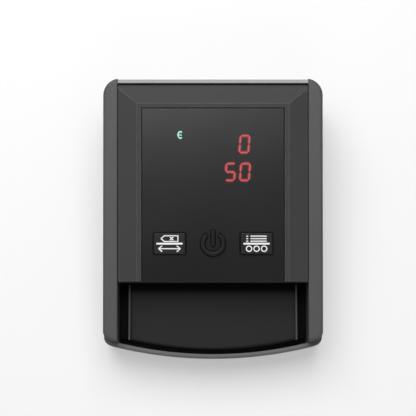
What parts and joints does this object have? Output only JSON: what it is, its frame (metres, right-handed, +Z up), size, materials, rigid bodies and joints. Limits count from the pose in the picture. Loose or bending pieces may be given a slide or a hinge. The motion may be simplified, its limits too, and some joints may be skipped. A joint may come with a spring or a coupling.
{
  "type": "banknote counting machine",
  "caption": "Small desktop banknote counter with a sloping rear-hinged lid, digit display, keys, an open note tray at the front and driven feed rollers.",
  "frame": {"origin": "on the table, under the middle of the case's outer box", "axes": "+Z up, -Y towards the front where notes go in, +X to the right seen from the front"},
  "size_m": [0.124, 0.156, 0.056],
  "materials": {
    "case_plastic": "fine-grained dark grey moulded plastic",
    "lid_plastic": "fine-grained dark grey moulded plastic, a shade darker than the case",
    "tray_plastic": "smooth near-black moulded plastic",
    "panel_acrylic": "satin dark tinted acrylic",
    "key_plastic": "satin dark grey plastic with white print",
    "socket_plastic": "black plastic",
    "sensor_plastic": "black plastic",
    "sensor_glass": "dark filter glass",
    "board_laminate": "green solder mask on laminate",
    "digit_red": "dark red diffuser",
    "indicator_green": "pale green light pipe",
    "foot_rubber": "matt black rubber",
    "roller_rubber": "grooved dark rubber",
    "belt_rubber": "black rubber",
    "pulley_nylon": "natural nylon",
    "steel": "bare steel",
    "bush_bronze": "sintered bronze"
  },
  "bodies": {
    "case": {"lower_housing": "case_plastic", "rear_panel": "case_plastic", "dc_jack": "socket_plastic", "card_socket": "socket_plastic", "bottom_cover": "case_plastic", "rubber_feet": "foot_rubber", "bottom_screws": "steel", "note_bed": "tray_plastic", "bed_screws": "steel", "lower_sensor_bar": "sensor_plastic", "lower_sensor_window": "sensor_glass", "main_board": "board_laminate", "motor_can": "steel", "motor_bracket": "steel", "shaft_bushings": "bush_bronze", "encoder_sensor": "socket_plastic", "motor_belt": "belt_rubber", "shaft_belt": "belt_rubber"},
    "lid": {"top_cover": "lid_plastic", "display_panel": "panel_acrylic", "display_board": "board_laminate", "digit_displays": "digit_red", "currency_indicator": "indicator_green", "tact_switches": "sensor_plastic", "upper_guide": "tray_plastic", "guide_screws": "steel", "hinge_pins": "steel", "upper_sensor_bar": "sensor_plastic", "upper_sensor_window": "sensor_glass", "magnetic_head": "steel", "pinch_springs": "steel"},
    "feed_roller_set": {"feed_shaft": "steel", "feed_rollers": "roller_rubber", "feed_pulley": "pulley_nylon", "feed_link_pulley": "pulley_nylon", "encoder_disc": "socket_plastic"},
    "exit_roller_set": {"exit_shaft": "steel", "exit_rollers": "roller_rubber", "exit_pulley": "pulley_nylon"},
    "motor_rotor": {"motor_shaft": "steel", "motor_pulley": "pulley_nylon"},
    "front_pinch_set": {"front_pinch_axle": "steel", "front_pinch_rollers": "roller_rubber"},
    "rear_pinch_set": {"rear_pinch_axle": "steel", "rear_pinch_rollers": "roller_rubber"},
    "clear_button": {"clear_key": "key_plastic"},
    "power_button": {"power_key": "key_plastic"},
    "report_button": {"report_key": "key_plastic"}
  },
  "joints": [
    {"name": "lid_hinge", "type": "hinge", "parent": "case", "child": "lid", "pos_m": [0, 0.0719, 0.05179], "axis": [-1, 0, 0], "range_deg": [0, 70]},
    {"name": "feed_spin", "type": "hinge", "parent": "case", "child": "feed_roller_set", "pos_m": [0, -0.012, 0.016], "axis": [1, 0, 0], "continuous": true},
    {"name": "exit_spin", "type": "hinge", "parent": "case", "child": "exit_roller_set", "pos_m": [0, 0.048, 0.016], "axis": [1, 0, 0], "continuous": true},
    {"name": "motor_spin", "type": "hinge", "parent": "case", "child": "motor_rotor", "pos_m": [0, 0.012, 0.0127], "axis": [1, 0, 0], "continuous": true},
    {"name": "front_pinch_spin", "type": "hinge", "parent": "lid", "child": "front_pinch_set", "pos_m": [0, -0.012, 0.02985], "axis": [1, 0, 0], "continuous": true},
    {"name": "rear_pinch_spin", "type": "hinge", "parent": "lid", "child": "rear_pinch_set", "pos_m": [0, 0.048, 0.02985], "axis": [1, 0, 0], "continuous": true},
    {"name": "clear_press", "type": "slide", "parent": "lid", "child": "clear_button", "axis": [0, 0.1219, -0.9925], "range_m": [0, 0.0008], "stiffness_N_per_m": 600},
    {"name": "power_press", "type": "slide", "parent": "lid", "child": "power_button", "axis": [0, 0.1219, -0.9925], "range_m": [0, 0.0008], "stiffness_N_per_m": 600},
    {"name": "report_press", "type": "slide", "parent": "lid", "child": "report_button", "axis": [0, 0.1219, -0.9925], "range_m": [0, 0.0008], "stiffness_N_per_m": 600}
  ],
  "couplings": [
    {"joint": "exit_spin", "follows": "feed_spin", "ratio": 1},
    {"joint": "motor_spin", "follows": "feed_spin", "ratio": 1.5},
    {"joint": "front_pinch_spin", "follows": "feed_spin", "ratio": -1.7},
    {"joint": "rear_pinch_spin", "follows": "feed_spin", "ratio": -1.7}
  ]
}
